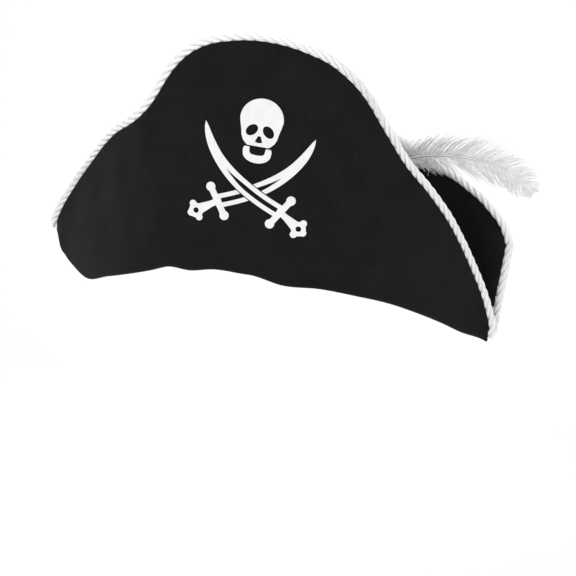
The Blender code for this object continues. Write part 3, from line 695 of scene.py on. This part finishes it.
def ribbon_band():
    """Grosgrain sweatband whose end laps over its start."""
    turn = np.linspace(LAP_START, LAP_START + 2 * np.pi + LAP_LENGTH, 420)
    heights = np.linspace(0.0002, BAND_HEIGHT, 14)
    turns, z = np.meshgrid(turn, heights, indexing="ij")
    points = band_point(turns, z, lap_step(turns) - 0.5 * BAND_THICKNESS)
    length = (turns - LAP_START) * math.hypot(HEAD_HALF_WIDTH, HEAD_HALF_DEPTH) / math.sqrt(2)
    uvs = np.stack([length, z], -1).reshape(-1, 2)
    item = add_piece("ribbon_band", points.reshape(-1, 3), grid_faces(len(turn), len(heights)),
                     RIBBON_LOOK, uvs)
    thicken(item, BAND_THICKNESS * 0.9)
    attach(item, "hat")
    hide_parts("sweatband")


def thread_piece(name, paths, radius, look, node, body="hat"):
    """Two-ply threads along several paths, as one sewn piece."""
    parts = [twisted(path, radius, radius * 9, radius * 0.9, plies=2, sides=6) for path in paths]
    points, faces, uvs = merged(parts)
    item = add_piece(name, points, faces, look, uvs)
    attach(item, body)
    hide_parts(node)


def band_stitches():
    """Running stitches that pass through the ribbon and lie on its inner face."""
    paths, pitch = [], 2 * np.pi / BAND_STITCHES
    for k in range(BAND_STITCHES):
        start = LAP_START + 0.03 + k * pitch
        turn = np.linspace(start, start + 0.66 * pitch, 12)
        rise = np.sin(np.linspace(0, np.pi, 12)) ** 0.5
        lap = lap_step(np.where(turn < LAP_START + LAP_LENGTH, turn + 2 * np.pi, turn))
        height = STITCH_HEIGHT + 0.0003 * math.sin(k * 2.4)
        paths.append(band_point(turn, height, 0.0007 * rise + lap))
    thread_piece("band_stitches", paths, 0.0004, BLACK_THREAD_LOOK,
                 "sweatband_stitching")


def side_seam(name, hand):
    """Overcast thread across the felt edges at the bottom of a side trough."""
    half_width, radius = 0.0032, 0.0004
    clear = FELT / 2 + radius + 0.0012
    dots = []
    for k in range(2 * SEAM_STITCHES + 1):
        share = 0.06 + 0.66 * k / (2 * SEAM_STITCHES)
        base = inner_edge(np.array([hand * (CROWN_CORNER + (1 - CROWN_CORNER) * share)]), FRONT)[0]
        swing = half_width * (1 if k % 2 else -1) * (1 - 0.6 * share)
        dots.append((base[0], swing, base[2] + clear))
    thread_piece(name + "_thread", [through(dots, 12 * len(dots))], radius, BLACK_THREAD_LOOK,
                 name)


def panel_tack(name, side, hand):
    """A thread shank of a few strands, gathered in the middle, from the crown to a panel."""
    x, z = TACK_X * hand, TACK_Z
    crown_face = CROWN_DEPTH * float(dome_radius(z)) * math.sqrt(1 - (x / CROWN_WIDTH) ** 2)
    near = side * (crown_face + SHARED_GAP)
    wall = panel_point(x / float(reach(hand)), z, side)[1]
    far = float(wall) - side * (FELT / 2 + SHARED_GAP)
    t = np.linspace(0, 1, 16)
    spread = 0.00030 + 0.00022 * (2 * t - 1) ** 2
    paths = []
    for k in range(TACK_STRANDS):
        turn = 2 * np.pi * k / TACK_STRANDS
        paths.append(np.stack([x + spread * np.cos(turn + 2.6 * t), near + (far - near) * t,
                               z + spread * np.sin(turn + 2.6 * t)], -1))
    thread_piece(name + "_strands", paths, 0.00026, BLACK_THREAD_LOOK, name)


# --- plume --------------------------------------------------------------------------------------------
QUILL_LINE = through(QUILL, 400)
QUILL_TANGENTS = unit(np.gradient(QUILL_LINE, axis=0))
ROOT = np.array(QUILL[0])
ROOT_Q = ROOT[0] / LEFT_REACH
ROOT_NORMAL = panel_normal(np.array(ROOT_Q), REAR)


def quill_shaft():
    """The quill: a short stub behind its root, narrowed at its end, and a fine tapered tip."""
    back = unit(QUILL_LINE[12] - QUILL_LINE[0]) * QUILL_STUB
    line = np.concatenate([np.linspace(ROOT - back, ROOT, 16)[:-1], QUILL_LINE])
    line, run = resample(line, 0.0012)
    share = np.clip((run - QUILL_STUB) / (run[-1] - QUILL_STUB), 0, 1)
    radii = QUILL_ROOT_RADIUS * (1 - 0.78 * share) * np.clip(0.35 + run / 0.003, 0, 1)
    points, faces, uvs = tube_mesh(line, radii, run, 14)
    item = add_piece("quill_shaft", points, faces, QUILL_LOOK, uvs)
    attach(item, "plume")
    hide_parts("plume_quill")


def clear_of_rear_edge(points, outside):
    """Lays barbs against the rear panel and its cord where they would pass through."""
    q = np.clip(points[..., 0] / LEFT_REACH, 0, 1)
    z = points[..., 2]
    top = edge_height(q, REAR) + 2 * CORD_RADIUS + CORD_GAP + 0.001
    wall = panel_depth(q) + SPLAY * q**6 * (np.minimum(z, top) - fold_height(q))
    room = CORD_RADIUS + 0.0012
    apart = (points[..., 1] - wall) * outside
    blocked = (z < top) & (apart < room) & (points[..., 0] < LEFT_REACH + 0.010)
    moved = points.copy()
    moved[..., 1] = np.where(blocked, wall + outside * room, points[..., 1])
    return moved


def barb_paths(rng, share, up, length, sweep, bend, stray):
    """Middle lines of barbs that leave the quill, sweep towards its tip and fall a little; and
    each barb's direction square to the vane."""
    count = len(share)
    spot = np.clip((share * (len(QUILL_LINE) - 1)).astype(int), 0, len(QUILL_LINE) - 1)
    root, along = QUILL_LINE[spot], QUILL_TANGENTS[spot]
    across = unit(np.cross(along, (0.0, 1.0, 0.0))) * up
    side = np.cross(along, across)
    t = np.linspace(0, 1, BARB_STEPS)
    angle = sweep[:, None] + bend[:, None] * t**1.5
    tilt = rng.normal(0, stray, (count, 1)) + rng.normal(0, 2.2 * stray, (count, 1)) * t**2
    wobble = 0.10 * np.sin(rng.uniform(3, 9, (count, 1)) * t + rng.uniform(0, 6.3, (count, 1))) * t
    angle = angle + wobble
    heading = (across[:, None] * np.cos(angle)[..., None] + along[:, None] * np.sin(angle)[..., None]
               + side[:, None] * tilt[..., None])
    heading[..., 2] -= 0.16 * t**2
    step = length[:, None, None] / (BARB_STEPS - 1) * unit(heading)
    paths = root[:, None] + np.cumsum(step, axis=1) - step[:, :1]
    return paths + (across * QUILL_ROOT_RADIUS * 0.4)[:, None], side


def barbules(rng, paths, side, reach_out, widths):
    """Short hairs on both edges of each barb, which knit it to the next and fray at the end."""
    count, steps = paths.shape[:2]
    each = (count, HAIRS_PER_BARB, 1)
    spots = rng.uniform(0.10, 1.0, (count, HAIRS_PER_BARB))
    index = np.minimum(spots * (steps - 1), steps - 1.001)
    low = index.astype(int)
    part = (index - low)[..., None]
    rows = np.arange(count)[:, None]
    root = paths[rows, low] * (1 - part) + paths[rows, low + 1] * part
    along = unit(paths[rows, low + 1] - paths[rows, low])
    hand = np.where(np.arange(HAIRS_PER_BARB) % 2, 1.0, -1.0)[None, :, None]
    across = np.cross(np.broadcast_to(side[:, None], along.shape), along) * hand
    lean = rng.uniform(0.3, 1.1, each)
    drift = rng.normal(0, 0.35, each) * side[:, None]
    heading = unit(across + along * lean + drift)
    size = reach_out * rng.uniform(0.5, 1.25, each) * (1 - 0.45 * spots[..., None])
    tip = root + heading * size
    base = along * widths
    points = np.stack([root - base, root + base, tip], 2).reshape(-1, 3)
    faces = [(3 * k, 3 * k + 1, 3 * k + 2) for k in range(count * HAIRS_PER_BARB)]
    return points, faces, np.zeros((len(points), 2))


def vane_spread(local, width):
    """How long the barbs are along the feather: short at the root, and full before the tip."""
    return width * np.sin(np.pi * np.minimum(local * 0.86 + 0.12, 1.0)) ** 0.6


def plume_barbs(name, node, up, width, start, count, seed):
    """One side of the feather: close barbs with hairs, and loose down near its root."""
    rng = np.random.default_rng(seed)
    local = np.clip((np.arange(count) + rng.uniform(-0.5, 0.5, count)) / (count - 1), 0, 1)
    share = start + (0.985 - start) * local
    length = vane_spread(local, width) * 1.22 * rng.uniform(0.80, 1.12, count)
    length *= np.where(rng.uniform(size=count) < 0.10, rng.uniform(1.05, 1.2, count), 1.0)
    clump = np.interp(local, np.linspace(0, 1, 24), rng.normal(0, 0.10, 24))
    sweep = np.radians(rng.normal(36, 4, count)) + clump
    bend = rng.uniform(0.25, 0.75, count) + clump
    paths, side = barb_paths(rng, share, up, length, sweep, bend, 0.05)

    down_local = rng.uniform(0, 0.45, DOWN_BARBS) ** 1.3
    down_share = start - 0.10 + (1 - start) * down_local
    down_length = width * rng.uniform(0.45, 0.95, DOWN_BARBS) * (0.75 + 0.6 * down_local)
    down_sweep = np.radians(rng.normal(20, 24, DOWN_BARBS))
    down_bend = rng.normal(0.6, 0.8, DOWN_BARBS)
    down_paths, down_side = barb_paths(rng, down_share, up, down_length, down_sweep, down_bend, 0.22)
    paths = np.concatenate([paths, down_paths])
    side = np.concatenate([side, down_side])
    outside = np.where(np.concatenate([share, down_share]) > 0.45, 1.0, -1.0)[:, None]
    paths = clear_of_rear_edge(paths, outside)
    t = np.linspace(0, 1, BARB_STEPS)
    widths = np.broadcast_to(0.00030 * (1 - 0.75 * t), paths.shape[:2])
    spread = np.broadcast_to(side[:, None], paths.shape)
    web = ribbons(paths, np.cross(spread, np.gradient(paths, axis=1)), widths, 0.00007)
    hairs = barbules(rng, paths, side, 0.0019, 0.00011)
    points, faces, uvs = merged([web, hairs])
    item = add_piece(name, points, faces, FEATHER_LOOK, uvs)
    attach(item, "plume")
    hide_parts(node)


def quill_binding():
    """Thread wound closely over the quill at its root."""
    turns, radius, thread = 10, QUILL_ROOT_RADIUS + 0.0004, 0.00027
    along = QUILL_TANGENTS[0]
    first = unit(np.cross(along, (0.0, 0.0, 1.0)))
    second = np.cross(along, first)
    t = np.linspace(0, 1, turns * 22)
    turn = 2 * np.pi * turns * t
    path = (ROOT + along * (0.0003 + 0.0054 * t)[:, None]
            + radius * (first * np.cos(turn)[:, None] + second * np.sin(turn)[:, None]))
    thread_piece("quill_binding", [path], thread, WHITE_THREAD_LOOK, "plume_binding",
                 body="plume")


def felt_patch():
    """Felt disc with a pinked edge behind the tack; returns the middle of its inner face."""
    base = panel_point(ROOT_Q, ROOT[2], REAR) - unevenness(ROOT_Q, ROOT[2], REAR) * ROOT_NORMAL
    near = base - ROOT_NORMAL * (FELT / 2 + 3 * SHARED_GAP)
    first = unit(np.cross(ROOT_NORMAL, (0.0, 0.0, 1.0)))
    second = np.cross(ROOT_NORMAL, first)
    turn = np.linspace(0, 2 * np.pi, 160, endpoint=False)
    shares = np.linspace(0.0, 1, 9)[1:]
    pinked = 1 - 0.035 * (0.5 + 0.5 * np.cos(20 * turn))
    ring = first * np.cos(turn)[:, None] + second * np.sin(turn)[:, None]
    face = near - ROOT_NORMAL * PATCH_THICKNESS / 2
    rows = []
    for share in shares:
        outline = pinked if share == 1 else np.ones_like(pinked)
        rows.append(face + ring * (PATCH_RADIUS * share * outline)[:, None])
    points = np.concatenate(rows + [[face]])
    faces = grid_faces(len(rows), len(turn), wrap=True)
    faces += [(len(points) - 1, (k + 1) % len(turn), k) for k in range(len(turn))]
    item = add_piece("felt_patch", points, faces, FELT_LOOK)
    thicken(item, PATCH_THICKNESS)
    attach(item, "hat")
    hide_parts("plume_patch")
    return near - ROOT_NORMAL * PATCH_THICKNESS


def tack_loop(patch_face):
    """The thread that passes over the quill and holds it to the patch."""
    radius, thread = QUILL_ROOT_RADIUS + 0.0019, 0.0004
    along = QUILL_TANGENTS[0]
    across = unit(np.cross(along, ROOT_NORMAL))
    foot = float((patch_face - ROOT) @ ROOT_NORMAL) - thread - SHARED_GAP
    turns = np.linspace(0, np.pi, 24)
    path = [ROOT + across * radius + ROOT_NORMAL * foot]
    path += [ROOT + across * radius * math.cos(a) - ROOT_NORMAL * radius * math.sin(a) for a in turns]
    path.append(ROOT - across * radius + ROOT_NORMAL * foot)
    thread_piece("tack_loop_thread", [np.array(path)], thread, WHITE_THREAD_LOOK,
                 "plume_tack_loop")


# --- the pieces ---------------------------------------------------------------------------------------
felt_crown()
felt_panel("felt_front_brim", FRONT, "front_brim")
felt_panel("felt_rear_brim", REAR, "rear_brim")
edge_cord("front_edging", FRONT, "front_edge_cord", phase=0.3)
edge_cord("rear_edging", REAR, "rear_edge_cord", phase=1.1)
flock_print()
ribbon_band()
band_stitches()
side_seam("side_seam_left", LEFT)
side_seam("side_seam_right", RIGHT)
for side_name, side_sign in (("front", FRONT), ("rear", REAR)):
    for hand_name, hand_sign in (("left", LEFT), ("right", RIGHT)):
        panel_tack(f"{side_name}_tack_{hand_name}", side_sign, hand_sign)
felt_fuzz()
quill_shaft()
plume_barbs("plume_barbs_upper", "plume_vane_upper", up=1, width=0.024, start=0.22, count=300,
            seed=3)
plume_barbs("plume_barbs_lower", "plume_vane_lower", up=-1, width=0.021, start=0.30, count=270,
            seed=8)
quill_binding()
tack_loop(felt_patch())


# --- stage, lights and camera -------------------------------------------------------------------------
def soft_light(name, location, target, size, power):
    lamp = bpy.data.lights.new(name, "AREA")
    lamp.shape = "RECTANGLE"
    lamp.size, lamp.size_y = size
    lamp.energy = power
    item = bpy.data.objects.new(name, lamp)
    item.location = location
    item.rotation_mode = "QUATERNION"
    item.rotation_quaternion = (Vector(target) - Vector(location)).to_track_quat("-Z", "Y")
    bpy.context.scene.collection.objects.link(item)


def studio_floor():
    """A pale floor below the stand that would hold the hat, curving up into a backdrop."""
    drop, reach_back, radius, half_width, height, bends = -0.55, 2.2, 0.9, 16.0, 6.0, 16
    profile = [(-half_width, drop), (reach_back - radius, drop)]
    for k in range(1, bends + 1):
        a = math.pi / 2 * k / bends
        profile.append((reach_back - radius + radius * math.sin(a),
                        drop + radius - radius * math.cos(a)))
    profile.append((reach_back, height))
    points = [(x, y, z) for y, z in profile for x in (-half_width, half_width)]
    floor = bpy.data.meshes.new("studio_floor")
    floor.from_pydata(points, [], grid_faces(len(profile), 2))
    floor.shade_smooth()
    floor.materials.append(FLOOR_LOOK)
    item = bpy.data.objects.new("studio_floor", floor)
    bpy.context.scene.collection.objects.link(item)


def studio_light():
    """A white surround and three large lamps, aimed at the middle of the hat."""
    world = bpy.data.worlds.new("studio")
    world.use_nodes = True
    background = world.node_tree.nodes["Background"]
    background.inputs["Color"].default_value = (1, 1, 1, 1)
    background.inputs["Strength"].default_value = 0.70
    bpy.context.scene.world = world
    middle = (0, 0, 0.06)
    soft_light("key", (-1.3, -2.0, 1.7), middle, (1.6, 1.6), 46)
    soft_light("fill", (1.9, -1.6, 0.8), middle, (1.6, 1.6), 18)
    soft_light("top", (0.2, 0.6, 2.4), middle, (2.0, 2.0), 24)


def camera():
    """The viewpoint: a little to the wearer's left, slightly above, with a small tilt."""
    azimuth, elevation, roll = math.radians(8), math.radians(11), math.radians(5.3)
    distance, metres_per_dot, dots = 1.6, 0.00088, 576
    aim = Vector((-0.007, 0, 0.045))
    back = Vector((math.sin(azimuth) * math.cos(elevation), -math.cos(azimuth) * math.cos(elevation),
                   math.sin(elevation)))
    level = Vector((math.cos(azimuth), math.sin(azimuth), 0))
    upright = back.cross(level)
    right = level * math.cos(roll) + upright * math.sin(roll)
    up = -level * math.sin(roll) + upright * math.cos(roll)
    place = aim + distance * back
    right_of_middle, above_middle = -0.0185, 0.0862     # where the aim shows in the picture
    centre = aim - right_of_middle * right - above_middle * up
    look_back = (place - centre).normalized()
    side = up.cross(look_back).normalized()
    turn = Matrix((side, look_back.cross(side), look_back)).transposed()
    lens = bpy.data.cameras.new("camera")
    lens.sensor_width = 36
    lens.lens = 36 / (dots * metres_per_dot / distance)
    item = bpy.data.objects.new("camera", lens)
    item.matrix_world = Matrix.Translation(place) @ turn.to_4x4()
    bpy.context.scene.collection.objects.link(item)
    bpy.context.scene.camera = item


studio_floor()
studio_light()
camera()
bpy.context.scene.view_settings.view_transform = "Standard"
